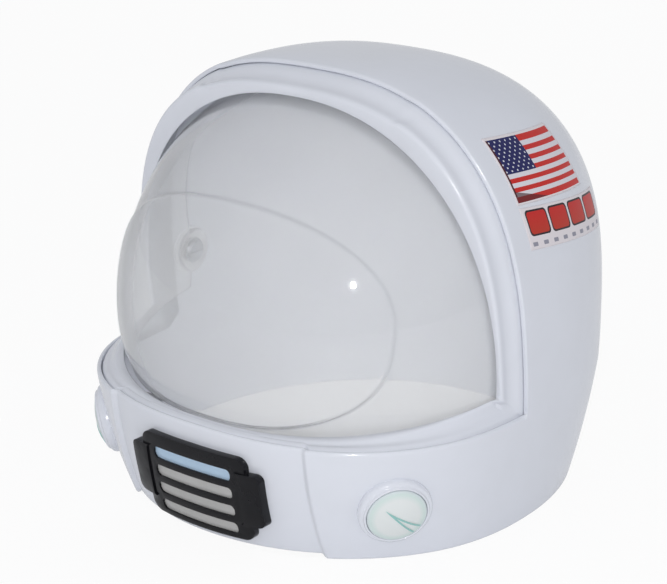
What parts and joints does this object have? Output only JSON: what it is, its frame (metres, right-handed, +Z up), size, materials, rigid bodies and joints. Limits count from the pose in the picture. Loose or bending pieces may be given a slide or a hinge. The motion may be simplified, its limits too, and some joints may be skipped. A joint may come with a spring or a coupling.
{
  "type": "astronaut dress-up helmet",
  "caption": "Thin white dress-up space helmet with an open neck, a clear bubble visor that turns up inside the dome, a slotted chin grille and a turning dial on each cheek.",
  "frame": {"origin": "on the flat surface that the neck rim rests on, in the middle of the width and, within 3 mm, of the depth", "axes": "+Z up, the face looks along -Y, +X is the wearer's left"},
  "size_m": [0.3102, 0.3283, 0.2879],
  "materials": {
    "white_shell": "glossy moulded thin plastic",
    "white_bezel": "glossy moulded plastic",
    "clear_visor": "clear, glossy plastic",
    "screws": "plated",
    "friction_rings": "matt",
    "cap_rings": "plated",
    "white_plates": "matt moulded",
    "rest_pads": "soft foam rubber",
    "black_grille": "high gloss black",
    "silver_mesh": "fine embossed, silver",
    "nuts": "stamped spring steel",
    "flag_print": "printed film, red, white and blue",
    "bar_print": "printed film, plain red and grey bars",
    "white_ring": "glossy",
    "pale_dial": "glossy, pale green-white",
    "teal_mark": "printed, teal",
    "dial_spring": "spring steel",
    "dial_clip": "stamped spring steel"
  },
  "bodies": {
    "hood": {"hood_shell": "white_shell", "face_bezel": "white_bezel", "pivot_screws": "screws", "friction_washers": "friction_rings", "cap_washers": "cap_rings", "left_pivot_plate": "white_plates", "right_pivot_plate": "white_plates", "visor_rest_pads": "rest_pads", "chin_grille": "black_grille", "grille_mesh": "silver_mesh", "grille_nuts": "nuts", "flag_label": "flag_print", "side_label": "bar_print", "left_dial_ring": "white_ring", "left_dial_washer": "dial_spring", "right_dial_ring": "white_ring", "right_dial_washer": "dial_spring"},
    "visor": {"visor": "clear_visor"},
    "left_dial": {"left_dial": "pale_dial", "left_dial_mark": "teal_mark", "left_dial_clip": "dial_clip"},
    "right_dial": {"right_dial": "pale_dial", "right_dial_mark": "teal_mark", "right_dial_clip": "dial_clip"}
  },
  "joints": [
    {"name": "visor_hinge", "type": "hinge", "parent": "hood", "child": "visor", "pos_m": [0, 0.00798, 0.12302], "axis": [-1, 0, 0], "range_deg": [0, 78]},
    {"name": "left_dial_turn", "type": "hinge", "parent": "hood", "child": "left_dial", "pos_m": [0.11944, -0.10755, 0.0385], "axis": [0.7547, -0.6053, -0.2531], "range_deg": [-135, 135]},
    {"name": "right_dial_turn", "type": "hinge", "parent": "hood", "child": "right_dial", "pos_m": [-0.11944, -0.10755, 0.0385], "axis": [-0.7547, -0.6053, -0.2531], "range_deg": [-135, 135]}
  ]
}
